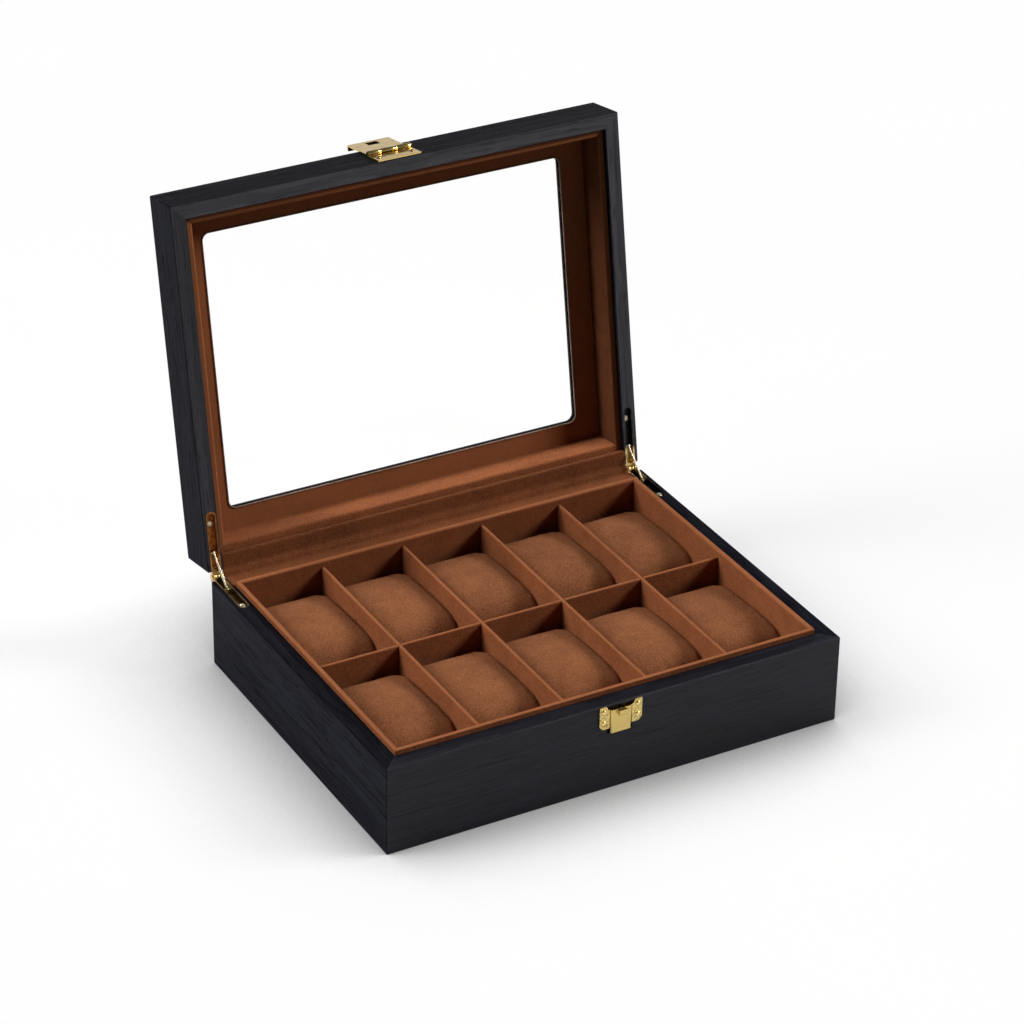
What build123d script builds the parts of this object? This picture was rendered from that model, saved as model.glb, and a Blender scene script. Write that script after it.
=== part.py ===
"""Ten-place watch display box: wooden case, glazed lid, stay hinges and a push latch.

The origin is the centre of the underside. X runs along the box, the front faces -Y
and +Z is up. The parts of the lid are modelled with the lid shut and then turned open.
All sizes are in millimetres.
"""

import os
from math import atan2, cos, degrees, hypot, radians, sin

from build123d import *

# Case
WIDTH = 272.0
DEPTH = 208.0
BASE_HEIGHT = 52.0
LID_HEIGHT = 27.0
RIM_GAP = 0.3
BASE_WALL = 10.0
LID_WALL = 8.8
CORNER_RADIUS = 0.8
EDGE_CHAMFER = 0.5
BOTTOM_THICKNESS = 3.0
BOTTOM_TONGUE = 4.0
FELT_THICKNESS = 1.2

# Lining and compartments
LINER_THICKNESS = 2.8
LINER_PROUD = 2.5
LINER_EDGE_RADIUS = 1.2
LINER_BACK_RADIUS = 0.4
MITRE_GAP = 0.2
MITRE_MARGIN = 5.0
FLOOR_THICKNESS = 1.4
COLUMNS = 5
DIVIDER_THICKNESS = 2.0
DIVIDER_DROP = 3.5
DIVIDER_EDGE_RADIUS = 0.85
LAP_CLEARANCE = 0.05
CLOTH_THICKNESS = 0.6
CLOTH_HALF_LENGTH = 127.3
CLOTH_FOLD_RADIUS = 2.8
CLOTH_FOLD_END = 77.0
CLOTH_FOLD_START = 172.0

# Watch pillows
PILLOW_SIDE_GAP = 0.38
PILLOW_FLOOR_GAP = 0.3
PILLOW_END_DEPTH = 2.5
PILLOW_END_INSET = 1.5
PILLOW_MIDDLE = (53.0, 23.0)
PILLOW_FOOT = (27.0, 79.0)
PILLOW_BELLY = (16.9, 20.0)
PILLOW_SHOULDER = (24.0, 36.5)
PILLOW_CROWN = (51.0, 45.0)
PILLOW_BACK = (85.0, 39.0)
PILLOW_BELLY_FACETS = 6
PILLOW_CROWN_FACETS = 9

# Lid
LID_OPEN_ANGLE = 99.5
TOP_THICKNESS = 4.4
WINDOW_HALF_X = 110.0
WINDOW_HALF_Y = 79.2
WINDOW_SHIFT = -1.3
WINDOW_RADIUS = 4.5
GLASS_THICKNESS = 2.0
GLASS_LAP = 6.0
PANEL_THICKNESS = 1.4
LID_LINER_THICKNESS = 4.0
LID_LINER_BOTTOM = 55.0

# Stay hinges, given for the right side
HINGE_X = 131.0
HINGE_Y = 107.0
HINGE_Z = 52.15
LEAF_WIDTH = 6.0
LEAF_METAL = 0.8
BASE_LEAF_START = 70.6
BASE_LEAF_BOTTOM = 48.0
BASE_LEAF_TOP = 51.9
LID_LEAF_START = 69.2
LID_LEAF_TOP = 56.8
LID_LEAF_BOTTOM = 52.35
EAR_RADIUS = 2.4
EAR_CLEARANCE = 0.1
BASE_EAR_RADIUS = 2.75
CUP_RADIUS = 3.1
BRIDGE_REACH = 1.8
EAR_ROOT = 0.5
LEAF_STEP = 1.4
HINGE_PIN_RADIUS = 1.0
RUNNING_CLEARANCE = 0.05
PIN_HEAD_HEIGHT = 0.5
PIN_HEAD_RADIUS = 1.5
STAY_BASE_Y = 94.0
STAY_BASE_Z = 50.6
STAY_LID_Y = 93.6
STAY_LID_Z = 53.9
STAY_THICKNESS = 1.3
STAY_WIDTH = 2.2
STAY_EYE_RADIUS = 1.4
STAY_TIP_RADIUS = 1.3
STAY_RIVET_RADIUS = 0.8
STAY_PIN_RADIUS = 0.55
STAY_PIN_REACH = 1.9
SLOT_HEIGHT = 1.2
SCREW_HEAD_RADIUS = 2.1
SCREW_HEAD_HEIGHT = 1.2
SCREW_SHANK_RADIUS = 1.1
SCREW_LENGTH = 9.0
BASE_SCREW_Y = 75.4
LID_SCREW_Y = 77.0

# Latch on the front wall; "out" is the distance in front of the wall
LATCH_METAL = 0.9
LATCH_HALF_WIDTH = 12.7
LATCH_BOTTOM = 38.1
LATCH_TOP = 51.7
LATCH_CHAMFER = 2.0
CRADLE_HALF_WIDTH = 7.4
CRADLE_METAL = 0.8
CRADLE_DEPTH = 4.4
CRADLE_TOP = 49.4
WING_FLARE = 1.2
POCKET_DEPTH = 4.5
POCKET_HALF_WIDTH = 7.5
POCKET_BOTTOM = 34.6
POCKET_TOP = 50.6
LEVER_HALF_WIDTH = 6.4
LEVER_BOTTOM = 35.0
LEVER_TOP = 49.2
LEVER_OUT = 1.6
LEVER_METAL = 0.9
LEVER_FLANGE_IN = 1.6
LEVER_EDGE_RADIUS = 1.1
LEVER_PIN_Z = 45.5
LEVER_PIN_OUT = -0.5
LEVER_PIN_RADIUS = 0.6
NOSE_HALF_WIDTH = 2.5
NOSE_BOTTOM = 46.0
NOSE_TOP = 48.7
NOSE_OUT = 4.0
BARB_HEIGHT = 0.5
BARB_THICKNESS = 0.7
NOSE_BEVEL = 0.7
SPRING_METAL = 0.3
SPRING_HALF_WIDTH = 2.5
SPRING_KNEE_Z = 44.0
SPRING_NECK = (0.9, 42.0)
SPRING_BELLY = (2.6, 39.6)
SPRING_FOOT = (0.3, 36.4)
NAIL_HEAD_RADIUS = 1.5
NAIL_HEAD_HEIGHT = 0.8
NAIL_SHANK_RADIUS = 0.6
NAIL_LENGTH = 6.0
NAIL_INSET = 2.5
LATCH_NAIL_HEIGHTS = (41.85, 48.45)
HEAD_TAPER = 0.7
HEAD_SIDES = 12
SHANK_SIDES = 6

# Hasp on the lid's front rail, given with the lid shut
HASP_PLATE_HALF_WIDTH = 13.0
HASP_PLATE_BOTTOM = 52.8
HASP_AXIS_Z = 66.0
HASP_NAIL_Z = 58.2
HASP_AXIS_OUT = 1.65
KNUCKLE_RADIUS = 1.5
KNUCKLE_PIN_RADIUS = 0.6
KNUCKLE_HALF_WIDTH = 4.8
KNUCKLE_SIDE_GAP = 0.2
FLAP_HALF_WIDTH = 12.5
FLAP_METAL = 0.9
FLAP_TIP_Z = 40.0
FLAP_LIP = 3.5
FLAP_NOTCH = 1.7
FLAP_SLOT_HALF_WIDTH = 3.5
FLAP_SLOT_BOTTOM = 43.6
FLAP_SLOT_TOP = 48.9

FRONT = -DEPTH / 2
HALF_X = WIDTH / 2
HALF_Y = DEPTH / 2
LID_BOTTOM = BASE_HEIGHT + RIM_GAP
LID_TOP = LID_BOTTOM + LID_HEIGHT
TOP_BOARD_BOTTOM = LID_TOP - TOP_THICKNESS
FLOOR_Z = FELT_THICKNESS + BOTTOM_THICKNESS
COMPARTMENT_FLOOR = FLOOR_Z + FLOOR_THICKNESS
LINER_TOP = BASE_HEIGHT + LINER_PROUD
DIVIDER_TOP = LINER_TOP - DIVIDER_DROP
INNER_X = HALF_X - BASE_WALL - LINER_THICKNESS
INNER_Y = HALF_Y - BASE_WALL - LINER_THICKNESS
CELL_X = (2 * INNER_X - (COLUMNS - 1) * DIVIDER_THICKNESS) / COLUMNS
PITCH = CELL_X + DIVIDER_THICKNESS
LEAF_HALF = LEAF_WIDTH / 2
LAP_Z = (COMPARTMENT_FLOOR + DIVIDER_TOP) / 2
DIVIDER_X = [PITCH * (i - COLUMNS / 2) for i in range(1, COLUMNS)]
LID_INNER_X = HALF_X - LID_WALL
LID_INNER_Y = HALF_Y - LID_WALL
PANEL_BOTTOM = TOP_BOARD_BOTTOM - PANEL_THICKNESS
LEVER_PIN_Y = FRONT - LEVER_PIN_OUT
HASP_AXIS_Y = FRONT - HASP_AXIS_OUT

os.makedirs("parts", exist_ok=True)

FACE = Plane((0, FRONT, 0), x_dir=(1, 0, 0), z_dir=(0, -1, 0))
LID_TURN = (
    Pos(0, HINGE_Y, HINGE_Z) * Rot(-LID_OPEN_ANGLE, 0, 0) * Pos(0, -HINGE_Y, -HINGE_Z)
)


def save(name, shape):
    """Write one node."""
    export_step(shape, f"parts/{name}.step")


def block(x, y, z):
    """A box between the given (low, high) pairs."""
    size = [high - low for low, high in (x, y, z)]
    middle = [(low + high) / 2 for low, high in (x, y, z)]
    return Pos(*middle) * Box(*size)


def outline(*points):
    """A closed polygon through points in the plane."""
    return make_face(Polyline(*points, close=True))


def from_side(sketch, x_low, x_high):
    """Extrude a profile drawn in (y, z) between two x values."""
    return extrude(Plane.YZ.offset(x_low) * sketch, x_high - x_low)


def from_front(sketch, out_low, out_high):
    """Extrude a profile drawn in (x, z) between two distances in front of the wall."""
    return extrude(FACE.offset(out_low) * sketch, out_high - out_low)


def pin(radius, x_low, x_high, y, z):
    """A round pin along X."""
    return from_side(Pos(y, z) * Circle(radius), x_low, x_high)


def mirrored(shape):
    """The same piece for the left side."""
    return mirror(shape, Plane.YZ)


def edges_at(shape, z):
    """The edges that lie in the horizontal plane at z."""
    return shape.edges().filter_by_position(Axis.Z, z - 0.01, z + 0.01)


def face_at(shape, z):
    """The flat face that lies in the horizontal plane at z."""
    return shape.faces().filter_by_position(Axis.Z, z - 0.01, z + 0.01)[0]


def frame_ring(half_x, half_y, wall, z_low, z_high, corner=0.0):
    """A rectangular frame of walls."""
    outer = Rectangle(2 * half_x, 2 * half_y)
    if corner:
        outer = fillet(outer.vertices(), corner)
    hole = Rectangle(2 * (half_x - wall), 2 * (half_y - wall))
    return extrude(Pos(0, 0, z_low) * (outer - hole), z_high - z_low)


def mitred(ring, half_x, half_y, gap=0.0):
    """Cut a frame along its mitres into front, back, left and right."""
    ridge = half_x - half_y
    far_x = half_x + MITRE_MARGIN
    far_y = half_y + MITRE_MARGIN
    long_side = outline((-far_x, -far_y), (far_x, -far_y), (ridge, 0), (-ridge, 0))
    short_side = outline((far_x, -far_y), (far_x, far_y), (ridge, 0))
    if gap:
        long_side = offset(long_side, -gap / 2, kind=Kind.INTERSECTION)
        short_side = offset(short_side, -gap / 2, kind=Kind.INTERSECTION)
    height = ring.bounding_box().max.Z + 1
    wedges = {
        "front": long_side,
        "back": Rot(0, 0, 180) * long_side,
        "left": Rot(0, 0, 180) * short_side,
        "right": short_side,
    }
    return {side: ring & extrude(wedge, height) for side, wedge in wedges.items()}


def rounded_bar(x, y_start, y_end, half_width, z_low, z_high):
    """A bar along Y whose near end is a half circle in plan."""
    plan = Rectangle(2 * half_width, y_end - y_start - half_width)
    plan = Pos(x, (y_start + half_width + y_end) / 2) * plan
    plan += Pos(x, y_start + half_width) * Circle(half_width)
    return extrude(Pos(0, 0, z_low) * plan, z_high - z_low)


def headed_nail(radius, height, shank_radius, length):
    """A tapered head on a plain shank, standing on the XY plane and pointing down."""
    shank = extrude(RegularPolygon(shank_radius, SHANK_SIDES), -length)
    crown = Pos(0, 0, height) * RegularPolygon(radius * HEAD_TAPER, HEAD_SIDES)
    return shank + loft([RegularPolygon(radius, HEAD_SIDES), crown], ruled=True)


def pan_screw(turned):
    """A pan-head screw that points down, or up when turned."""
    screw = headed_nail(SCREW_HEAD_RADIUS, SCREW_HEAD_HEIGHT, SCREW_SHANK_RADIUS, SCREW_LENGTH)
    return Rot(180, 0, 0) * screw if turned else screw


def dome_nail(x, out, z):
    """A nail driven through a plate whose face is `out` in front of the wall."""
    nail = headed_nail(NAIL_HEAD_RADIUS, NAIL_HEAD_HEIGHT, NAIL_SHANK_RADIUS, NAIL_LENGTH)
    return FACE * Pos(x, z, out) * nail


# ---------------------------------------------------------------------------
# Hinges, with the lid shut
# ---------------------------------------------------------------------------


def channel_leaf(start, bottom, top, web_below):
    """The let-in channel of a leaf, open on the side away from its web."""
    bar = rounded_bar(HINGE_X, start, HALF_Y, LEAF_HALF, bottom, top)
    low = bottom + LEAF_METAL if web_below else bottom - 1
    high = top + 1 if web_below else top - LEAF_METAL
    return bar - rounded_bar(
        HINGE_X, start + LEAF_METAL, HALF_Y + 1, LEAF_HALF - LEAF_METAL, low, high
    )


def ears(radius, out_low, out_high, z_low, z_high):
    """The pair of lugs that carry the hinge pin, between two distances from the middle."""
    root = HALF_Y - EAR_ROOT
    lug = Pos((root + HINGE_Y) / 2, (z_low + z_high) / 2) * Rectangle(HINGE_Y - root, z_high - z_low)
    lug += Pos(HINGE_Y, HINGE_Z) * Circle(radius)
    one = from_side(lug, HINGE_X + out_low, HINGE_X + out_high)
    other = from_side(lug, HINGE_X - out_high, HINGE_X - out_low)
    return one + other


def knuckle_cup():
    """The base leaf's web where it runs on under the hinge pin and curls up behind it."""
    inside = EAR_RADIUS + EAR_CLEARANCE
    quarter = Pos(CUP_RADIUS / 2, -CUP_RADIUS / 2) * Rectangle(CUP_RADIUS, CUP_RADIUS)
    curl = Pos(HINGE_Y, HINGE_Z) * ((Circle(CUP_RADIUS) - Circle(inside)) & quarter)
    root = HALF_Y - EAR_ROOT
    link = outline(
        (root, BASE_LEAF_BOTTOM), (HINGE_Y, HINGE_Z - CUP_RADIUS),
        (HINGE_Y, HINGE_Z - inside), (root, BASE_LEAF_BOTTOM + LEAF_METAL),
    )
    return from_side(curl + link, HINGE_X - LEAF_HALF, HINGE_X + LEAF_HALF)


def base_leaf():
    """The leaf in the base rim, with the outer pair of lugs."""
    leaf = channel_leaf(BASE_LEAF_START, BASE_LEAF_BOTTOM, BASE_LEAF_TOP, True)
    leaf += ears(
        BASE_EAR_RADIUS, LEAF_HALF - LEAF_METAL, LEAF_HALF, HINGE_Z - BASE_EAR_RADIUS, BASE_LEAF_TOP
    )
    leaf += knuckle_cup()
    leaf -= pin(HINGE_PIN_RADIUS, 0, WIDTH, HINGE_Y, HINGE_Z)
    leaf -= pin(STAY_RIVET_RADIUS, 0, WIDTH, STAY_BASE_Y, STAY_BASE_Z)
    web_z = BASE_LEAF_BOTTOM + LEAF_METAL
    return leaf - Pos(HINGE_X, BASE_SCREW_Y, web_z) * pan_screw(False)


def lid_leaf():
    """The leaf in the lid rim: slotted flanges that step inwards to the inner lugs.

    A bridge joins the two lugs between the rim and the pin.
    """
    leaf = channel_leaf(LID_LEAF_START, LID_LEAF_BOTTOM, LID_LEAF_TOP, False)
    outer = LEAF_HALF - LEAF_METAL - EAR_CLEARANCE
    inner = outer - LEAF_METAL
    leaf += ears(EAR_RADIUS, inner, outer, LID_LEAF_BOTTOM, HINGE_Z + EAR_RADIUS)
    leaf += block(
        (HINGE_X - outer, HINGE_X + outer),
        (HALF_Y, HALF_Y + BRIDGE_REACH),
        (LID_LEAF_BOTTOM, HINGE_Z + EAR_RADIUS),
    )
    step_y = HALF_Y - LEAF_STEP
    step = outline(
        (inner, HALF_Y), (LEAF_HALF - LEAF_METAL, step_y), (LEAF_HALF, step_y),
        (LEAF_HALF, HALF_Y), (outer, HALF_Y),
    )
    for side in (step, mirror(step, Plane.YZ)):
        foot = Pos(HINGE_X, 0, LID_LEAF_BOTTOM) * side
        leaf += extrude(foot, LID_LEAF_TOP - LID_LEAF_BOTTOM)
    leaf -= pin(HINGE_PIN_RADIUS + RUNNING_CLEARANCE, 0, WIDTH, HINGE_Y, HINGE_Z)
    slot_far = STAY_LID_Y
    slot_near = stay_shut_tip()[0]
    slot = Pos((slot_far + slot_near) / 2, STAY_LID_Z) * SlotCenterToCenter(
        slot_far - slot_near, SLOT_HEIGHT
    )
    leaf -= from_side(slot, 0, WIDTH)
    web_z = LID_LEAF_TOP - LEAF_METAL
    return leaf - Pos(HINGE_X, LID_SCREW_Y, web_z) * pan_screw(True)


def stay_open_tip():
    """Where the stay's lid end is, in (y, z), with the lid on its stop."""
    turn = radians(LID_OPEN_ANGLE)
    y = STAY_LID_Y - HINGE_Y
    z = STAY_LID_Z - HINGE_Z
    return (
        HINGE_Y + y * cos(turn) + z * sin(turn),
        HINGE_Z - y * sin(turn) + z * cos(turn),
    )


def stay_length():
    """The distance between the stay's two centres."""
    tip = stay_open_tip()
    return hypot(tip[0] - STAY_BASE_Y, tip[1] - STAY_BASE_Z)


def stay_shut_tip():
    """Where the stay's lid end lies in the slot with the lid shut."""
    rise = STAY_LID_Z - STAY_BASE_Z
    return STAY_BASE_Y - (stay_length() ** 2 - rise**2) ** 0.5, STAY_LID_Z


def stay():
    """The stay bar in its open pose, with the cross pin that rides in the lid's channel."""
    tip = stay_open_tip()
    length = stay_length()
    angle = degrees(atan2(tip[1] - STAY_BASE_Z, tip[0] - STAY_BASE_Y))
    bar = Pos(length / 2, 0) * Rectangle(length, STAY_WIDTH)
    bar += Circle(STAY_EYE_RADIUS) + Pos(length, 0) * Circle(STAY_TIP_RADIUS)
    bar -= Circle(STAY_RIVET_RADIUS + RUNNING_CLEARANCE)
    bar = Pos(STAY_BASE_Y, STAY_BASE_Z) * Rot(0, 0, angle) * bar
    half = STAY_THICKNESS / 2
    arm = from_side(bar, HINGE_X - half, HINGE_X + half)
    reach = STAY_PIN_REACH
    return arm + pin(STAY_PIN_RADIUS, HINGE_X - reach, HINGE_X + reach, *tip)


def hinge_pin():
    """The pin through all four lugs, with its ends peened over."""
    end = LEAF_HALF + PIN_HEAD_HEIGHT
    shape = pin(HINGE_PIN_RADIUS, HINGE_X - LEAF_HALF, HINGE_X + LEAF_HALF, HINGE_Y, HINGE_Z)
    for low, high in ((-end, -LEAF_HALF), (LEAF_HALF, end)):
        shape += pin(PIN_HEAD_RADIUS, HINGE_X + low, HINGE_X + high, HINGE_Y, HINGE_Z)
    return shape


def stay_rivet():
    """The rivet that holds the stay in the base leaf."""
    return pin(
        STAY_RIVET_RADIUS, HINGE_X - LEAF_HALF, HINGE_X + LEAF_HALF, STAY_BASE_Y, STAY_BASE_Z
    )


BASE_LEAF = base_leaf()
LID_LEAF = lid_leaf()
BASE_SCREW = Pos(HINGE_X, BASE_SCREW_Y, BASE_LEAF_BOTTOM + LEAF_METAL) * pan_screw(False)
LID_SCREW = Pos(HINGE_X, LID_SCREW_Y, LID_LEAF_TOP - LEAF_METAL) * pan_screw(True)
BASE_MORTISE = rounded_bar(
    HINGE_X, BASE_LEAF_START, HALF_Y + 1, LEAF_HALF, BASE_LEAF_BOTTOM, BASE_HEIGHT + 1
)
LID_MORTISE = rounded_bar(
    HINGE_X, LID_LEAF_START, HALF_Y + 1, LEAF_HALF, LID_BOTTOM - 1, LID_LEAF_TOP
)


# ---------------------------------------------------------------------------
# Latch and hasp
# ---------------------------------------------------------------------------


NAIL_X = LATCH_HALF_WIDTH - NAIL_INSET
LATCH_NAILS = [
    dome_nail(side * NAIL_X, LATCH_METAL, z)
    for side in (-1, 1)
    for z in LATCH_NAIL_HEIGHTS
]
HASP_NAILS = [dome_nail(side * NAIL_X, LATCH_METAL, HASP_NAIL_Z) for side in (-1, 1)]


def nailed(shape, nails):
    """The shape with the holes that its nails fill."""
    for nail in nails:
        shape -= nail
    return shape


def latch_plate():
    """A pressed plate: two nailed wings joined by a cradle that sinks into the pocket."""
    wing = outline(
        (CRADLE_HALF_WIDTH, LATCH_BOTTOM),
        (LATCH_HALF_WIDTH - LATCH_CHAMFER, LATCH_BOTTOM),
        (LATCH_HALF_WIDTH, LATCH_BOTTOM + LATCH_CHAMFER),
        (LATCH_HALF_WIDTH, LATCH_TOP),
        (CRADLE_HALF_WIDTH + WING_FLARE, LATCH_TOP),
        (CRADLE_HALF_WIDTH, CRADLE_TOP),
    )
    plate = from_front(wing + mirror(wing, Plane.YZ), 0, LATCH_METAL)
    height = CRADLE_TOP - LATCH_BOTTOM
    middle = (CRADLE_TOP + LATCH_BOTTOM) / 2
    sheet = Pos(0, middle) * Rectangle(2 * CRADLE_HALF_WIDTH, height)
    hollow = Pos(0, middle) * Rectangle(2 * (CRADLE_HALF_WIDTH - CRADLE_METAL), height + 2)
    plate += from_front(sheet, -CRADLE_DEPTH, LATCH_METAL)
    plate -= from_front(hollow, CRADLE_METAL - CRADLE_DEPTH, LATCH_METAL)
    plate -= pin(LEVER_PIN_RADIUS, -HALF_X, HALF_X, LEVER_PIN_Y, LEVER_PIN_Z)
    return nailed(plate, LATCH_NAILS)


def latch_lever():
    """The press hood with its side flanges and the hooked nose that holds the hasp."""
    hood = block(
        (-LEVER_HALF_WIDTH, LEVER_HALF_WIDTH),
        (FRONT - LEVER_OUT, FRONT + LEVER_FLANGE_IN),
        (LEVER_BOTTOM, LEVER_TOP),
    )
    outer_edges = hood.edges().filter_by(Axis.Z).group_by(Axis.Y)[0]
    hood = fillet(outer_edges, LEVER_EDGE_RADIUS)
    inside = LEVER_HALF_WIDTH - LEVER_METAL
    hood -= block(
        (-inside, inside),
        (FRONT - LEVER_OUT + LEVER_METAL, FRONT + LEVER_FLANGE_IN + 1),
        (LEVER_BOTTOM - 1, LEVER_TOP + 1),
    )
    eye = pin(LEVER_PIN_RADIUS + RUNNING_CLEARANCE, -HALF_X, HALF_X, LEVER_PIN_Y, LEVER_PIN_Z)
    skin_y = FRONT - LEVER_OUT + LEVER_METAL
    tip_y = FRONT - NOSE_OUT
    nose = outline(
        (skin_y, NOSE_BOTTOM),
        (tip_y + NOSE_BEVEL, NOSE_BOTTOM),
        (tip_y, NOSE_BOTTOM + NOSE_BEVEL),
        (tip_y, NOSE_TOP + BARB_HEIGHT),
        (tip_y + BARB_THICKNESS, NOSE_TOP + BARB_HEIGHT),
        (tip_y + BARB_THICKNESS, NOSE_TOP),
        (skin_y, NOSE_TOP),
    )
    return hood + from_side(nose, -NOSE_HALF_WIDTH, NOSE_HALF_WIDTH) - eye


def latch_spring():
    """A bent leaf between the cradle's back and the foot of the hood."""
    back = FRONT + CRADLE_DEPTH - CRADLE_METAL
    hood_skin = FRONT - LEVER_OUT + LEVER_METAL
    neck = (back - SPRING_NECK[0], SPRING_NECK[1])
    belly = (back - SPRING_BELLY[0], SPRING_BELLY[1])
    foot = (hood_skin + SPRING_FOOT[0], SPRING_FOOT[1])
    line = Polyline((back, CRADLE_TOP - 1), (back, SPRING_KNEE_Z), neck)
    line += ThreePointArc(neck, belly, foot)
    leaf = trace(line, SPRING_METAL)
    leaf = Pos(-SPRING_METAL / 2, 0) * leaf
    return from_side(leaf, -SPRING_HALF_WIDTH, SPRING_HALF_WIDTH)


def hasp_knuckles(x_low, x_high, bore):
    """A piece of the hasp's rolled barrel, bored for its pin."""
    barrel = pin(KNUCKLE_RADIUS, x_low, x_high, HASP_AXIS_Y, HASP_AXIS_Z)
    return barrel - pin(bore, x_low, x_high, HASP_AXIS_Y, HASP_AXIS_Z)


def hasp_plate():
    """The plate on the lid rail, with the two outer knuckles."""
    width = HASP_PLATE_HALF_WIDTH
    height = HASP_AXIS_Z - HASP_PLATE_BOTTOM
    sheet = Pos(0, HASP_PLATE_BOTTOM + height / 2) * Rectangle(2 * width, height)
    gap = KNUCKLE_HALF_WIDTH + KNUCKLE_SIDE_GAP
    notch = Pos(0, HASP_AXIS_Z) * Rectangle(2 * gap, 2 * FLAP_NOTCH)
    plate = from_front(sheet - notch, 0, LATCH_METAL)
    bore = pin(KNUCKLE_PIN_RADIUS, -width, width, HASP_AXIS_Y, HASP_AXIS_Z)
    for low, high in ((-width, -gap), (gap, width)):
        plate += hasp_knuckles(low, high, KNUCKLE_PIN_RADIUS)
    return nailed(plate - bore, HASP_NAILS)


def hasp():
    """The slotted flap, hanging down as it does when it is fastened."""
    near = HASP_AXIS_Y - KNUCKLE_RADIUS + FLAP_METAL
    far = near - FLAP_METAL
    lip = near - FLAP_LIP
    lip_top = FLAP_TIP_Z + FLAP_METAL
    sheet = outline(
        (near, HASP_AXIS_Z), (near, FLAP_TIP_Z), (lip, FLAP_TIP_Z), (lip, lip_top),
        (far, lip_top), (far, HASP_AXIS_Z),
    )
    flap = from_side(sheet, -FLAP_HALF_WIDTH, FLAP_HALF_WIDTH)
    tip_edges = flap.edges().filter_by(Axis.X).filter_by_position(
        Axis.Z, FLAP_TIP_Z - 0.1, FLAP_TIP_Z + 0.1
    )
    flap = fillet(tip_edges.sort_by(Axis.Y)[-1:], FLAP_METAL)
    for low, high in (
        (-FLAP_HALF_WIDTH - 1, -KNUCKLE_HALF_WIDTH),
        (KNUCKLE_HALF_WIDTH, FLAP_HALF_WIDTH + 1),
    ):
        flap -= block((low, high), (far - 1, near + 1), (HASP_AXIS_Z - FLAP_NOTCH, HASP_AXIS_Z + 1))
    flap -= block(
        (-FLAP_SLOT_HALF_WIDTH, FLAP_SLOT_HALF_WIDTH),
        (far - 1, near + 1),
        (FLAP_SLOT_BOTTOM, FLAP_SLOT_TOP),
    )
    half = KNUCKLE_HALF_WIDTH
    flap += pin(KNUCKLE_RADIUS, -half, half, HASP_AXIS_Y, HASP_AXIS_Z)
    bore = KNUCKLE_PIN_RADIUS + RUNNING_CLEARANCE
    return flap - pin(bore, -half, half, HASP_AXIS_Y, HASP_AXIS_Z)


# ---------------------------------------------------------------------------
# Base
# ---------------------------------------------------------------------------


def cloth_strip(y_low, y_high, z_low, z_high):
    """A strip of the cloth that covers the joint between base and lid at the back."""
    return block((-CLOTH_HALF_LENGTH, CLOTH_HALF_LENGTH), (y_low, y_high), (z_low, z_high))


def base_cloth():
    """The cloth on the back wall's rim, and the fold that lies round the hinges' axis."""
    centre = Pos(HINGE_Y, HINGE_Z)
    fold = Circle(CLOTH_FOLD_RADIUS) - Circle(CLOTH_FOLD_RADIUS - CLOTH_THICKNESS)
    rays = [
        (2 * HINGE_Y * cos(radians(angle)), 2 * HINGE_Y * sin(radians(angle)))
        for angle in (CLOTH_FOLD_START, CLOTH_FOLD_END)
    ]
    fold = centre * (fold & outline((0, 0), *rays))
    root = BASE_HEIGHT - CLOTH_THICKNESS
    near = HINGE_Y - CLOTH_FOLD_RADIUS
    link = outline(
        (HALF_Y - CLOTH_THICKNESS, root), (near + CLOTH_THICKNESS, root),
        (near + CLOTH_THICKNESS, HINGE_Z + CLOTH_THICKNESS), (near, HINGE_Z + CLOTH_THICKNESS),
        (near, BASE_HEIGHT), (HALF_Y - CLOTH_THICKNESS, BASE_HEIGHT),
    )
    joint = from_side(fold + link, -CLOTH_HALF_LENGTH, CLOTH_HALF_LENGTH)
    return joint + cloth_strip(HALF_Y - BASE_WALL, HALF_Y, root, BASE_HEIGHT)


def lid_cloth():
    """The cloth on the back rail's rim and on the inside of the rail below the lining."""
    inside = HALF_Y - LID_WALL
    rim = cloth_strip(inside, HALF_Y, LID_BOTTOM, LID_BOTTOM + CLOTH_THICKNESS)
    return rim + cloth_strip(inside, inside + CLOTH_THICKNESS, LID_BOTTOM, LID_LINER_BOTTOM)


def base_walls():
    """The four walls, grooved for the bottom and let in for the hinges and the latch."""
    ring = frame_ring(HALF_X, HALF_Y, BASE_WALL, 0, BASE_HEIGHT, CORNER_RADIUS)
    ring = chamfer(edges_at(ring, BASE_HEIGHT), EDGE_CHAMFER)
    foot = ring.faces().sort_by(Axis.Z)[0].outer_wire().edges()
    ring = chamfer(foot, EDGE_CHAMFER)
    reach_x = HALF_X - BASE_WALL + BOTTOM_TONGUE
    reach_y = HALF_Y - BASE_WALL + BOTTOM_TONGUE
    ring -= block((-reach_x, reach_x), (-reach_y, reach_y), (FELT_THICKNESS, FLOOR_Z))
    for cutter in (BASE_MORTISE, BASE_SCREW):
        ring -= cutter
        ring -= mirrored(cutter)
    ring -= block(
        (-POCKET_HALF_WIDTH, POCKET_HALF_WIDTH),
        (FRONT - 1, FRONT + POCKET_DEPTH),
        (POCKET_BOTTOM, POCKET_TOP),
    )
    ring -= cloth_strip(HALF_Y - BASE_WALL, HALF_Y, BASE_HEIGHT - CLOTH_THICKNESS, BASE_HEIGHT)
    return mitred(nailed(ring, LATCH_NAILS), HALF_X, HALF_Y)


def liner(half_x, half_y, thickness, z_low, z_high, soft_z):
    """Four covered boards, at soft_z well rounded inside and just eased beside the wood."""
    ring = frame_ring(half_x, half_y, thickness, z_low, z_high)
    ring = fillet(face_at(ring, soft_z).outer_wire().edges(), LINER_BACK_RADIUS)
    ring = fillet(face_at(ring, soft_z).inner_wires()[0].edges(), LINER_EDGE_RADIUS)
    return mitred(ring, half_x, half_y, MITRE_GAP)


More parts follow.
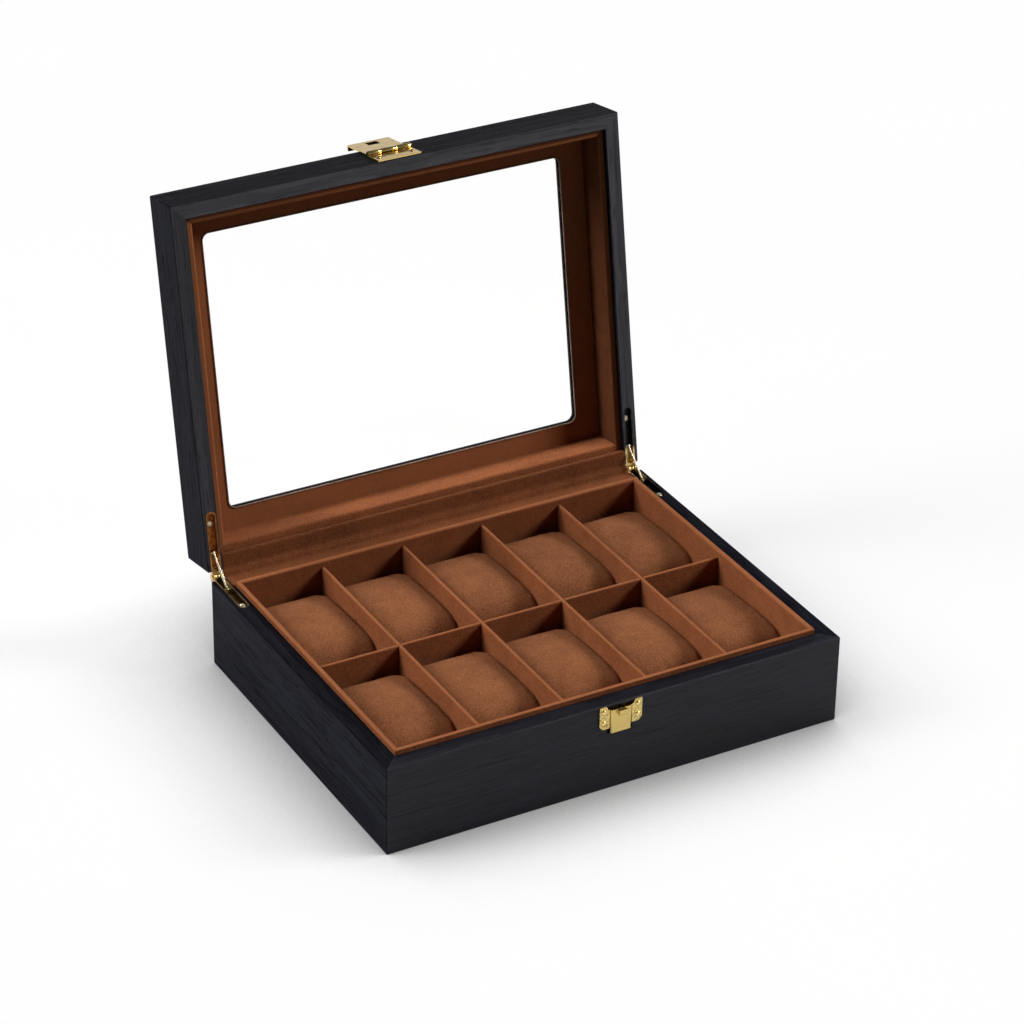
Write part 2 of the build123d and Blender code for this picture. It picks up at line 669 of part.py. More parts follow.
def divider(length, slots, slot_z):
    """A board along X, rounded along its top, with half-lap slots between two heights."""
    board = block(
        (-length / 2, length / 2),
        (-DIVIDER_THICKNESS / 2, DIVIDER_THICKNESS / 2),
        (COMPARTMENT_FLOOR, DIVIDER_TOP),
    )
    top = edges_at(board, DIVIDER_TOP).filter_by(Axis.X)
    board = fillet(top, DIVIDER_EDGE_RADIUS)
    half = DIVIDER_THICKNESS / 2 + LAP_CLEARANCE
    for x in slots:
        board -= block((x - half, x + half), (-half, half), slot_z)
    return board


def facets(arc, count):
    """The corners of a curve divided into equal runs, without its last point."""
    corners = [arc @ (i / count) for i in range(count)]
    return [(corner.X, corner.Y) for corner in corners]


def pillow_section(x, inset):
    """The pillow's outline in (y, z) at one x, drawn in all round by `inset`."""
    floor = COMPARTMENT_FLOOR + PILLOW_FLOOR_GAP
    front_foot = (PILLOW_FOOT[0], floor)
    back_foot = (PILLOW_FOOT[1], floor)
    corners = facets(ThreePointArc(front_foot, PILLOW_BELLY, PILLOW_SHOULDER), PILLOW_BELLY_FACETS)
    corners += facets(ThreePointArc(PILLOW_SHOULDER, PILLOW_CROWN, PILLOW_BACK), PILLOW_CROWN_FACETS)
    corners += [PILLOW_BACK, back_foot]
    middle_y, middle_z = PILLOW_MIDDLE
    shrink = 1 - inset / (middle_z - floor)
    drawn_in = [
        (middle_y + (y - middle_y) * shrink, middle_z + (z - middle_z) * shrink)
        for y, z in corners
    ]
    return Plane.YZ.offset(x) * outline(*drawn_in)


def pillow():
    """A watch pillow: flat underneath, full in front, with a sharp edge along its back."""
    half = CELL_X / 2 - PILLOW_SIDE_GAP
    seam = half - PILLOW_END_DEPTH
    sections = [(-half, PILLOW_END_INSET), (-seam, 0), (seam, 0), (half, PILLOW_END_INSET)]
    return loft([pillow_section(x, inset) for x, inset in sections], ruled=True)


long_divider = divider(2 * INNER_X, DIVIDER_X, (LAP_Z - LAP_CLEARANCE, DIVIDER_TOP + 1))
cross_divider = divider(2 * INNER_Y, [0], (COMPARTMENT_FLOOR - 1, LAP_Z + LAP_CLEARANCE))

for side, wall in base_walls().items():
    save(f"base_{side}_wall", wall)
tongue = BASE_WALL - BOTTOM_TONGUE
save(
    "base_bottom_panel",
    block(
        (tongue - HALF_X, HALF_X - tongue), (tongue - HALF_Y, HALF_Y - tongue),
        (FELT_THICKNESS, FLOOR_Z),
    ),
)
save(
    "underside_felt",
    block(
        (BASE_WALL - HALF_X, HALF_X - BASE_WALL), (BASE_WALL - HALF_Y, HALF_Y - BASE_WALL),
        (0, FELT_THICKNESS),
    ),
)
base_liner = liner(
    HALF_X - BASE_WALL, HALF_Y - BASE_WALL, LINER_THICKNESS, FLOOR_Z, LINER_TOP, LINER_TOP
)
for side, board in base_liner.items():
    save(f"base_liner_{side}", board)
save(
    "floor_liner",
    block((-INNER_X, INNER_X), (-INNER_Y, INNER_Y), (FLOOR_Z, COMPARTMENT_FLOOR)),
)
save("long_divider", long_divider)
for number, x in enumerate(DIVIDER_X, 1):
    save(f"cross_divider_{number}", Pos(x, 0, 0) * Rot(0, 0, 90) * cross_divider)

one_pillow = pillow()
for row, row_y in enumerate((-INNER_Y, DIVIDER_THICKNESS / 2)):
    for column in range(COLUMNS):
        x = PITCH * (column - (COLUMNS - 1) / 2)
        save(f"pillow_{row * COLUMNS + column + 1}", Pos(x, row_y, 0) * one_pillow)
save("hinge_cloth_base", base_cloth())

# ---------------------------------------------------------------------------
# Lid
# ---------------------------------------------------------------------------


def window(lap=0.0):
    """The window's outline, a little left of the middle, grown all round by `lap`."""
    plan = Rectangle(2 * (WINDOW_HALF_X + lap), 2 * (WINDOW_HALF_Y + lap))
    return Pos(WINDOW_SHIFT, 0) * fillet(plan.vertices(), WINDOW_RADIUS)


def glass_pane():
    """The glass, which laps the window's edge all round."""
    return extrude(Pos(0, 0, TOP_BOARD_BOTTOM) * window(GLASS_LAP), GLASS_THICKNESS)


def lid_rails():
    """The four rails under the top board, let in for the hinges."""
    ring = frame_ring(HALF_X, HALF_Y, LID_WALL, LID_BOTTOM, TOP_BOARD_BOTTOM, CORNER_RADIUS)
    ring = chamfer(edges_at(ring, LID_BOTTOM), EDGE_CHAMFER)
    for cutter in (LID_MORTISE, LID_SCREW):
        ring -= cutter
        ring -= mirrored(cutter)
    return mitred(nailed(ring, HASP_NAILS) - lid_cloth(), HALF_X, HALF_Y)


def lid_top_frame():
    """The top board with its window and, underneath, the rebate for the glass."""
    plan = fillet(Rectangle(WIDTH, DEPTH).vertices(), CORNER_RADIUS)
    plan -= window()
    board = extrude(Pos(0, 0, TOP_BOARD_BOTTOM) * plan, TOP_THICKNESS)
    board = chamfer(edges_at(board, LID_TOP), EDGE_CHAMFER)
    for cutter in (LID_MORTISE, LID_SCREW):
        board -= cutter
        board -= mirrored(cutter)
    return board - glass_pane()


for side, rail in lid_rails().items():
    save(f"lid_{side}_rail", LID_TURN * rail)
save("lid_top_frame", LID_TURN * lid_top_frame())
save("lid_glass", LID_TURN * glass_pane())
panel_plan = Rectangle(2 * LID_INNER_X, 2 * LID_INNER_Y) - window()
save("window_panel", LID_TURN * extrude(Pos(0, 0, PANEL_BOTTOM) * panel_plan, PANEL_THICKNESS))
save("hinge_cloth_lid", LID_TURN * lid_cloth())
lid_liner = liner(
    LID_INNER_X, LID_INNER_Y, LID_LINER_THICKNESS, LID_LINER_BOTTOM, PANEL_BOTTOM, LID_LINER_BOTTOM
)
for side, board in lid_liner.items():
    save(f"lid_liner_{side}", LID_TURN * board)

# ---------------------------------------------------------------------------
# Brass
# ---------------------------------------------------------------------------

for side, flip in (("right", lambda shape: shape), ("left", mirrored)):
    save(f"base_leaf_{side}", flip(BASE_LEAF))
    save(f"lid_leaf_{side}", LID_TURN * flip(LID_LEAF))
    save(f"stay_{side}", flip(stay()))
    save(f"hinge_pin_{side}", flip(hinge_pin()))
save("stay_rivets", Compound(children=[stay_rivet(), mirrored(stay_rivet())]))
save("base_hinge_screws", Compound(children=[BASE_SCREW, mirrored(BASE_SCREW)]))
save("lid_hinge_screws", LID_TURN * Compound(children=[LID_SCREW, mirrored(LID_SCREW)]))

save("latch_plate", latch_plate())
save("latch_lever", latch_lever())
save(
    "latch_pin",
    pin(LEVER_PIN_RADIUS, -CRADLE_HALF_WIDTH, CRADLE_HALF_WIDTH, LEVER_PIN_Y, LEVER_PIN_Z),
)
save("latch_spring", latch_spring())
save("latch_nails", Compound(children=LATCH_NAILS))

flap_turn = Pos(0, HASP_AXIS_Y, HASP_AXIS_Z) * Rot(-180, 0, 0) * Pos(0, -HASP_AXIS_Y, -HASP_AXIS_Z)
save("hasp_plate", LID_TURN * hasp_plate())
save("hasp", LID_TURN * flap_turn * hasp())
save(
    "hasp_pin",
    LID_TURN * pin(
        KNUCKLE_PIN_RADIUS, -HASP_PLATE_HALF_WIDTH, HASP_PLATE_HALF_WIDTH, HASP_AXIS_Y, HASP_AXIS_Z
    ),
)
save("hasp_nails", LID_TURN * Compound(children=HASP_NAILS))
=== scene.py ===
import math
import random

import bpy
from mathutils import Matrix, Vector, noise


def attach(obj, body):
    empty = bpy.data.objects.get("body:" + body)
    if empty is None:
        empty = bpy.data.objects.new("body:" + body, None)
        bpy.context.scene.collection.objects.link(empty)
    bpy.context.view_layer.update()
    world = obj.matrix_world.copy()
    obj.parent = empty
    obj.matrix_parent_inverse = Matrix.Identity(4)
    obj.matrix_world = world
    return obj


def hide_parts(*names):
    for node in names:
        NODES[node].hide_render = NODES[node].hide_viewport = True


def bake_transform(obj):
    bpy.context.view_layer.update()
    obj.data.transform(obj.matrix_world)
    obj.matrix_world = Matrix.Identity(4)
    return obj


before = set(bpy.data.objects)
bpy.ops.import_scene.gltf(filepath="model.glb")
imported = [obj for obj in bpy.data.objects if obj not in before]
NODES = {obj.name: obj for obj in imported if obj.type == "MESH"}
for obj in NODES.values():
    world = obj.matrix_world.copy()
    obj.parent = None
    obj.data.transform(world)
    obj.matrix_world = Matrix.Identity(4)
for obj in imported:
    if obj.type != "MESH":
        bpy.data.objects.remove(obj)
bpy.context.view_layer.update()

MM = 0.001

# The lid is stored open: this turns a point of the closed lid to where it is.
LID_OPEN = math.radians(99.5)
HINGE = Vector((0.0, 107.0, 52.15)) * MM
LID_TURN = (
    Matrix.Translation(HINGE) @ Matrix.Rotation(-LID_OPEN, 4, "X") @ Matrix.Translation(-HINGE)
)

# The hinges' distance from the middle
HINGE_X = 131.0

# The way the lid's rim faces
RIM_OF_LID = tuple(LID_TURN.to_3x3() @ Vector((0, 0, -1)))

# Compartments
CELL_PITCH = 49.68
CELL_COLUMNS = 5
FRONT_ROW_Y = -91.2
BACK_ROW_Y = 1.0
PILLOW_HALF = 23.3
PILLOW_FLOOR = 5.9
END_ROUNDING = 2.4

# ---------------------------------------------------------------------------
# Node materials
# ---------------------------------------------------------------------------


class Shader:
    """A material's node tree, with short calls for its nodes."""

    def __init__(self, name):
        self.material = bpy.data.materials.new(name)
        self.material.use_nodes = True
        self.tree = self.material.node_tree
        self.tree.nodes.clear()
        self.out = self.tree.nodes.new("ShaderNodeOutputMaterial")

    def node(self, kind, **settings):
        made = self.tree.nodes.new("ShaderNode" + kind)
        for key, value in settings.items():
            setattr(made, key, value)
        return made

    def put(self, socket, value):
        """Sets a socket to a constant, or links it to another socket."""
        if isinstance(value, bpy.types.NodeSocket):
            self.tree.links.new(value, socket)
        else:
            socket.default_value = value

    def fill(self, made, **inputs):
        for key, value in inputs.items():
            self.put(made.inputs[key.replace("_", " ")], value)
        return made

    def coords(self):
        return self.node("TexCoord").outputs["Object"]

    def mapped(self, vector, scale=(1, 1, 1), turn=(0, 0, 0)):
        made = self.node("Mapping")
        return self.fill(made, Vector=vector, Scale=scale, Rotation=turn).outputs["Vector"]

    def noise(self, vector, scale, detail=3.0, rough=0.55, distort=0.0):
        made = self.node("TexNoise")
        self.fill(made, Vector=vector, Scale=scale, Detail=detail, Roughness=rough)
        return self.fill(made, Distortion=distort).outputs["Fac"]

    def span(self, value, low, high, to_low=0.0, to_high=1.0):
        made = self.node("MapRange")
        made.interpolation_type = "SMOOTHSTEP"
        self.put(made.inputs["Value"], value)
        for key, number in zip(("From Min", "From Max", "To Min", "To Max"),
                               (low, high, to_low, to_high)):
            made.inputs[key].default_value = number
        return made.outputs["Result"]

    def math(self, operation, a, b=0.0):
        made = self.node("Math", operation=operation)
        self.put(made.inputs[0], a)
        self.put(made.inputs[1], b)
        return made.outputs["Value"]

    def dot(self, vector, direction):
        made = self.node("VectorMath", operation="DOT_PRODUCT")
        self.put(made.inputs[0], vector)
        made.inputs[1].default_value = direction
        return made.outputs["Value"]

    def blend(self, factor, a, b, mode="MIX"):
        made = self.node("Mix", data_type="RGBA", blend_type=mode)
        self.put(made.inputs["Factor"], factor)
        colours = [s for s in made.inputs if s.type == "RGBA"]
        self.put(colours[0], a)
        self.put(colours[1], b)
        return [s for s in made.outputs if s.type == "RGBA"][0]

    def bump(self, height, distance, strength=1.0, normal=None):
        made = self.node("Bump")
        self.fill(made, Height=height, Distance=distance, Strength=strength)
        if normal is not None:
            self.put(made.inputs["Normal"], normal)
        return made.outputs["Normal"]

    def surface(self, **inputs):
        made = self.node("BsdfPrincipled")
        self.fill(made, **inputs)
        self.put(self.out.inputs["Surface"], made.outputs["BSDF"])
        return made


def rgb(*values):
    return (*values, 1.0)


def wood(name, along, shine, lid=False, painted_rim_sheen=0.0, painted_shade_share=1.0):
    """Black-stained open-pored oak under a matt lacquer, its grain running along X or Y.

    The lid's grain is laid out with the lid shut. Its rim can be given a satin grey, a painted
    reflection, and its colours can be darkened, a painted shade.
    """
    s = Shader(name)
    where = s.coords()
    if lid:
        where = s.mapped(where, turn=(LID_OPEN, 0, 0))
    drift = s.node("VectorMath", operation="SCALE")
    s.put(drift.inputs[0], s.noise(where, 26.0, 2.0))
    drift.inputs["Scale"].default_value = 0.006
    moved = s.node("VectorMath", operation="ADD")
    s.put(moved.inputs[0], where)
    s.put(moved.inputs[1], drift.outputs["Vector"])
    fine = (14.0, 620.0, 620.0) if along == "X" else (620.0, 14.0, 620.0)
    long = (4.0, 150.0, 150.0) if along == "X" else (150.0, 4.0, 150.0)
    pores = s.noise(s.mapped(moved.outputs["Vector"], scale=fine), 1.6, 3.0, 0.6)
    bands = s.noise(s.mapped(moved.outputs["Vector"], scale=long), 1.4, 2.0, 0.5)
    pore = s.span(pores, 0.50, 0.64)
    band = s.span(bands, 0.40, 0.64)
    # These colours can be darkened as a painted shade, as they are on the lid's front and back
    # rails.
    dark = rgb(*(painted_shade_share * c for c in (0.0054, 0.0057, 0.0095)))
    light = rgb(*(painted_shade_share * c for c in (0.0122, 0.0128, 0.0205)))
    colour = s.blend(band, dark, light)
    colour = s.blend(pore, colour, rgb(0.0022, 0.0022, 0.0028))
    # Painted reflection: faces turned like the lid's rim take a satin grey.
    if painted_rim_sheen:
        normal = s.node("TexCoord").outputs["Normal"]
        rim = s.span(s.dot(normal, RIM_OF_LID), 0.6, 0.95, 0.0, painted_rim_sheen)
        satin_and_painted_sheen = s.blend(band, rgb(0.088, 0.088, 0.100), rgb(0.118, 0.116, 0.130))
        satin_and_painted_sheen = s.blend(s.math("MULTIPLY", pore, 0.4), satin_and_painted_sheen, rgb(0.024, 0.024, 0.029))
        colour = s.blend(rim, colour, satin_and_painted_sheen)
    rough = s.math("ADD", s.span(pores, 0.3, 0.7, 0.0, 0.14), s.span(bands, 0.3, 0.7, 0.40, 0.50))
    height = s.math("SUBTRACT", s.math("MULTIPLY", band, 0.25), pore)
    s.surface(
        Base_Color=colour, Roughness=rough, Specular_IOR_Level=shine,
        Normal=s.bump(height, 0.00010, 0.5),
    )
    return s.material


def suede(name, deep, light, pale, sheen_facing=None, edge=None):
    """Brushed suede: a fine nap, cloudy where it has been stroked, with a painted sheen: paler on
    rolled edges and faces turned towards a given direction.
    """
    s = Shader(name)
    where = s.coords()
    fibre = s.noise(where, 3600.0, 2.0, 0.7)
    tuft = s.noise(where, 1250.0, 3.0, 0.75)
    nap = s.math("ADD", s.math("MULTIPLY", fibre, 0.45), s.math("MULTIPLY", tuft, 0.55))
    cloud = s.noise(where, 95.0, 4.0, 0.6, 0.6)
    broad = s.noise(where, 30.0, 2.0, 0.5)
    tone = s.math("ADD", s.math("MULTIPLY", cloud, 0.55), s.math("MULTIPLY", broad, 0.45))
    tone = s.span(tone, 0.34, 0.66)
    colour = s.blend(tone, rgb(*deep), rgb(*light))
    colour = s.blend(s.span(nap, 0.40, 0.64, 0.0, 0.66), colour, rgb(*pale))
    colour = s.blend(s.span(nap, 0.34, 0.52, 0.46, 0.0), colour, rgb(*(c * 0.50 for c in deep)))
    # Painted sheen: faces turned towards the given direction blend towards the edge colour.
    if sheen_facing is not None:
        rim = s.span(s.dot(s.node("TexCoord").outputs["Normal"], sheen_facing), 0.25, 0.85, 0.0, 0.5)
        colour = s.blend(rim, colour, rgb(*(edge or pale)))
    height = s.math("ADD", s.math("MULTIPLY", nap, 0.8), s.math("MULTIPLY", cloud, 0.5))
    s.surface(
        Base_Color=colour, Roughness=0.95, Specular_IOR_Level=0.05,
        Sheen_Weight=0.11, Sheen_Roughness=0.42, Sheen_Tint=rgb(0.95, 0.52, 0.30),
        Normal=s.bump(height, 0.00030, 0.6),
    )
    return s.material


def brass(
    name, wear_and_shade=0.3, tone=rgb(0.66, 0.47, 0.17), satin_and_painted_sheen=0.0, dents=0.4, grain=300.0,
    relief=0.00035,
):
    """Polished stamped brass with ripples of the given grain and depth, and small dull marks."""
    s = Shader(name)
    where = s.coords()
    ripple = s.noise(where, grain, 2.0, 0.5)
    marks = s.noise(where, 900.0, 3.0, 0.7)
    stain = s.span(s.noise(where, 260.0, 4.0, 0.65), 0.52, 0.72)
    colour = s.blend(s.math("MULTIPLY", stain, wear_and_shade), tone, rgb(0.36, 0.21, 0.06))
    height = s.math("ADD", ripple, s.math("MULTIPLY", marks, 0.2))
    s.surface(
        Base_Color=colour, Metallic=1.0,
        Roughness=s.span(marks, 0.3, 0.75, 0.10 + satin_and_painted_sheen, 0.26 + satin_and_painted_sheen),
        Normal=s.bump(height, relief, dents),
    )
    return s.material


def leaf_brass(name, facing, dull, sunken=1.0):
    """A hinge leaf: bright lugs round the pin, and a web in the let-in channel darkened by painted
    shade and painted reflection.

    `sunken` is how strong that painted shade is on the channel's web beside the pin.
    """
    s = Shader(name)
    where = s.coords()
    marks = s.noise(where, 900.0, 3.0, 0.7)
    ripple = s.noise(where, 380.0, 2.0, 0.5)
    offset = s.node("VectorMath", operation="SUBTRACT")
    s.put(offset.inputs[0], where)
    offset.inputs[1].default_value = HINGE
    # Painted shade: the web down in the channel, and the web far from the pin, take the dark
    # channel colour.
    sunk = s.span(s.dot(offset.outputs["Vector"], facing), -0.0026, -0.0010, sunken, 0.0)
    square = s.node("VectorMath", operation="MULTIPLY")
    s.put(square.inputs[0], offset.outputs["Vector"])
    square.inputs[1].default_value = (0.0, 1.0, 1.0)
    reach = s.node("VectorMath", operation="LENGTH")
    s.put(reach.inputs[0], square.outputs["Vector"])
    far = s.span(reach.outputs["Value"], 0.010, 0.014)
    sunk = s.math("MAXIMUM", sunk, far)
    dirt = s.span(marks, 0.45, 0.75, 0.0, 0.5)
    clean = s.blend(dirt, rgb(0.80, 0.58, 0.24), rgb(0.50, 0.31, 0.10))
    wear_and_shade = s.blend(s.span(ripple, 0.35, 0.65), rgb(*dull), rgb(*(1.7 * c for c in dull)))
    s.surface(
        Base_Color=s.blend(sunk, clean, wear_and_shade), Metallic=s.span(sunk, 0.0, 1.0, 0.8, 1.0),
        Roughness=s.math(
            "ADD", s.span(marks, 0.3, 0.75, 0.16, 0.32), s.math("MULTIPLY", sunk, 0.18),
        ),
        Normal=s.bump(ripple, 0.0003, 0.5),
    )
    return s.material


def steel(name):
    s = Shader(name)
    marks = s.noise(s.coords(), 1100.0, 3.0, 0.6)
    colour = s.blend(marks, rgb(0.46, 0.44, 0.41), rgb(0.66, 0.64, 0.61))
    s.surface(
        Base_Color=colour, Metallic=1.0, Roughness=s.span(marks, 0.3, 0.7, 0.22, 0.36),
        Normal=s.bump(marks, 0.00003, 0.5),
    )
    return s.material


def felt(name):
    s = Shader(name)
    where = s.coords()
    fibre = s.noise(s.mapped(where, scale=(1.0, 1.7, 1.0)), 1300.0, 4.0, 0.7, 1.4)
    patch = s.noise(where, 60.0, 3.0)
    colour = s.blend(fibre, rgb(0.012, 0.011, 0.011), rgb(0.045, 0.040, 0.037))
    colour = s.blend(s.span(patch, 0.4, 0.7, 0.0, 0.35), colour, rgb(0.032, 0.028, 0.026))
    s.surface(
        Base_Color=colour, Roughness=1.0, Specular_IOR_Level=0.1,
        Sheen_Weight=0.4, Sheen_Roughness=0.5,
        Normal=s.bump(fibre, 0.0004, 0.7),
    )
    return s.material


def clear_glass(name):
    """Window glass that lets the lamps' light through without a shadow."""
    s = Shader(name)
    smear = s.noise(s.coords(), 18.0, 3.0)
    pane = s.node("BsdfPrincipled")
    s.fill(
        pane, Base_Color=rgb(1.0, 1.0, 1.0), Transmission_Weight=1.0, IOR=1.2,
        Roughness=s.span(smear, 0.35, 0.8, 0.0, 0.02),
    )
    through = s.node("BsdfTransparent")
    pick = s.node("MixShader")
    s.put(pick.inputs[0], s.node("LightPath").outputs["Is Shadow Ray"])
    s.put(pick.inputs[1], pane.outputs["BSDF"])
    s.put(pick.inputs[2], through.outputs["BSDF"])
    s.put(s.out.inputs["Surface"], pick.outputs["Shader"])
    return s.material


# ---------------------------------------------------------------------------
# Mesh helpers
# ---------------------------------------------------------------------------


def add_mesh(name, points, faces, material, smooth=True):
    data = bpy.data.meshes.new(name)
    data.from_pydata([tuple(p) for p in points], [], faces)
    data.validate()
    data.update()
    made = bpy.data.objects.new(name, data)
    bpy.context.scene.collection.objects.link(made)
    data.materials.append(material)
    if smooth:
        data.polygons.foreach_set("use_smooth", [True] * len(data.polygons))
    return made


def lathe(profile, sides):
    """Points and faces of a profile of (radius, height) turned about Z. The ends are closed."""
    points = []
    for radius, height in profile:
        for k in range(sides):
            a = 2 * math.pi * k / sides
            points.append(Vector((radius * math.cos(a), radius * math.sin(a), height)))
    faces = []
    for i in range(len(profile) - 1):
        for k in range(sides):
            n = (k + 1) % sides
            low, high = i * sides, (i + 1) * sides
            faces.append((low + k, low + n, high + n, high + k))
    faces.append(tuple(reversed(range(sides))))
    faces.append(tuple(range((len(profile) - 1) * sides, len(profile) * sides)))
    return points, faces


def merge(parts):
    """Joins several (points, faces) into one."""
    points, faces = [], []
    for more, rings in parts:
        base = len(points)
        points += list(more)
        faces += [tuple(base + i for i in ring) for ring in rings]
    return points, faces


def dress(material, *names, bevel=0.0, segments=2):
    """Gives CAD nodes a material, and rounds their edges where bevel is set."""
    for name in names:
        item = NODES[name]
        item.data.materials.clear()
        item.data.materials.append(material)
        if bevel:
            weld = item.modifiers.new("Weld", "WELD")
            weld.merge_threshold = 0.000004
            edge = item.modifiers.new("Bevel", "BEVEL")
            edge.width = bevel * MM
            edge.segments = segments
            edge.limit_method = "ANGLE"
            edge.angle_limit = math.radians(35)
            edge.harden_normals = True


# ---------------------------------------------------------------------------
# Pillows
# ---------------------------------------------------------------------------


# The pillow's side view as (y, z) in millimetres, from its back foot round by the front: once
# through its middle, where it is plumpest, and once at its flatter ends.
MIDDLE_VIEW = [
    (78.4, 6.3), (28.0, 6.3), (20.0, 11.2), (16.8, 20.0), (18.0, 29.0), (22.4, 36.6),
    (29.5, 41.2), (40.0, 43.6), (54.0, 44.0), (70.0, 42.0), (84.2, 38.7),
]
END_VIEW = [
    (78.4, 6.3), (28.4, 6.3), (20.8, 11.2), (17.6, 20.0), (18.6, 28.4), (22.2, 35.0),
    (28.6, 38.9), (38.0, 40.0), (54.0, 39.8), (70.0, 39.2), (84.2, 38.0),
]
VIEW_STEPS = [16, 4, 4, 4, 4, 4, 5, 6, 7, 6, 10]


def pillow_outline(view):
    """A smooth closed line through a view's points; the underside and the back stay straight."""
    n = len(view)
    shape = []
    for i, steps in enumerate(VIEW_STEPS):
        p0, p1, p2, p3 = (Vector(view[(i + k) % n]) for k in (-1, 0, 1, 2))
        straight = i in (0, n - 1)
        for k in range(steps):
            t = k / steps
            if straight:
                spot = p1.lerp(p2, t)
            else:
                before = p0 if i > 1 else p1
                after = p3 if i < n - 2 else p2
                spot = 0.5 * (
                    2 * p1 + (p2 - before) * t
                    + (2 * before - 5 * p1 + 4 * p2 - after) * t * t
                    + (3 * p1 - before - 3 * p2 + after) * t * t * t
                )
            shape.append(spot)
    return shape


def pillow_form():
    """Points and faces of a closed pillow with rounded ends, flatter than its middle."""
    middle, end = pillow_outline(MIDDLE_VIEW), pillow_outline(END_VIEW)
    centre = Vector((52.0, 23.5))
    stations = [-1.0, -0.985, -0.96, -0.92, -0.86, -0.76] + [-0.6 + 0.2 * i for i in range(7)]
    stations += [0.76, 0.86, 0.92, 0.96, 0.985, 1.0]
    points, faces = [], []
    for t in stations:
        flat = abs(t) ** 3
        over = max(0.0, (abs(t) - 0.87) / 0.13)
        pull = END_ROUNDING * (1 - math.sqrt(max(0.0, 1 - over * over)))
        for inner, outer in zip(middle, end):
            spot = inner.lerp(outer, flat)
            spot = spot - (spot - centre).normalized() * pull
            points.append(Vector((t * PILLOW_HALF, spot.x, spot.y)) * MM)
    n = len(middle)
    for i in range(len(stations) - 1):
        for k in range(n):
            m = (k + 1) % n
            faces.append((i * n + k, i * n + m, (i + 1) * n + m, (i + 1) * n + k))
    for i in (0, len(stations) - 1):
        centre_point = sum((points[i * n + k] for k in range(n)), Vector()) / n
        points.append(centre_point)
        hub = len(points) - 1
        for k in range(n):
            m = (k + 1) % n
            ring = (i * n + m, i * n + k, hub) if i == 0 else (i * n + k, i * n + m, hub)
            faces.append(ring)
    return points, faces


def fresh_mesh(item):
    """What the item's modifiers make of it, as a mesh of its own."""
    seen = item.evaluated_get(bpy.context.evaluated_depsgraph_get())
    return bpy.data.meshes.new_from_object(seen)


def swell(item, voxel, pressure, most, frames=20):
    """Remeshes a closed form and lets air pressure fill it, moving no point further than most."""
    remesh = item.modifiers.new("Remesh", "REMESH")
    remesh.mode = "VOXEL"
    remesh.voxel_size = voxel
    even = fresh_mesh(item)
    item.modifiers.clear()
    item.data = even
    rest = [v.co.copy() for v in even.vertices]
    cloth = item.modifiers.new("Cloth", "CLOTH")
    cloth.settings.quality = 5
    cloth.settings.mass = 0.15
    cloth.settings.tension_stiffness = 12
    cloth.settings.compression_stiffness = 12
    cloth.settings.bending_stiffness = 1.2
    cloth.settings.use_pressure = True
    cloth.settings.uniform_pressure_force = pressure
    cloth.settings.effector_weights.gravity = 0
    cloth.point_cache.frame_end = frames
    scene = bpy.context.scene
    for step in range(1, frames + 1):
        scene.frame_set(step)
    filled = fresh_mesh(item)
    item.modifiers.clear()
    for vertex, start in zip(filled.vertices, rest):
        move = vertex.co - start
        if move.length > most:
            vertex.co = start + move.normalized() * most
    item.data = filled
    scene.frame_set(1)
    return item


def settle(item, seed):
    """Keeps a pillow in its compartment and gives it slack creases."""
    low, high = -PILLOW_HALF * MM, PILLOW_HALF * MM
    for vertex in item.data.vertices:
        p = vertex.co
        t = abs(p.x) / (PILLOW_HALF * MM)
        dent = noise.noise(Vector((p.x * 38 + seed * 3.1, p.y * 30, p.z * 30 + seed)))
        crease = noise.noise(Vector((p.x * 120 + seed, p.y * 45, p.z * 110)))
        out = (0.55 * dent + 0.16 * crease) * MM * (1 - 0.6 * t)
        push = Vector((0, p.y - 0.052, p.z - 0.0235)).normalized()
        p += push * out
        p.x = min(high, max(low, p.x))
        p.z = max(PILLOW_FLOOR * MM, p.z)
        p.y = min(0.0855, max(0.0163, p.y))
        vertex.co = p


def rolled(path, side, radius, around=8):
    """A thin cord along a closed path that lies in the plane square to `side`."""
    n = len(path)
    points, faces = [], []
    for k, spot in enumerate(path):
        up = (path[(k + 1) % n] - path[k - 1]).normalized().cross(side)
        for a in range(around):
            angle = 2 * math.pi * a / around
            points.append(spot + radius * (math.cos(angle) * side + math.sin(angle) * up))
    for k in range(n):
        m = (k + 1) % n
        for a in range(around):
            b = (a + 1) % around
            faces.append((k * around + a, m * around + a, m * around + b, k * around + b))
    return points, faces


def end_outline(item, x, steps=96):
    """Where a pillow's surface lies at one x, all round, by casting rays out from its middle."""
    found = []
    for k in range(steps):
        angle = 2 * math.pi * k / steps
        ray = Vector((0, math.cos(angle), math.sin(angle)))
        start = Vector((x, 0.052, 0.0235))
        hit, spot, _, _ = item.ray_cast(start, ray)
        if hit:
            found.append(spot)
    return found


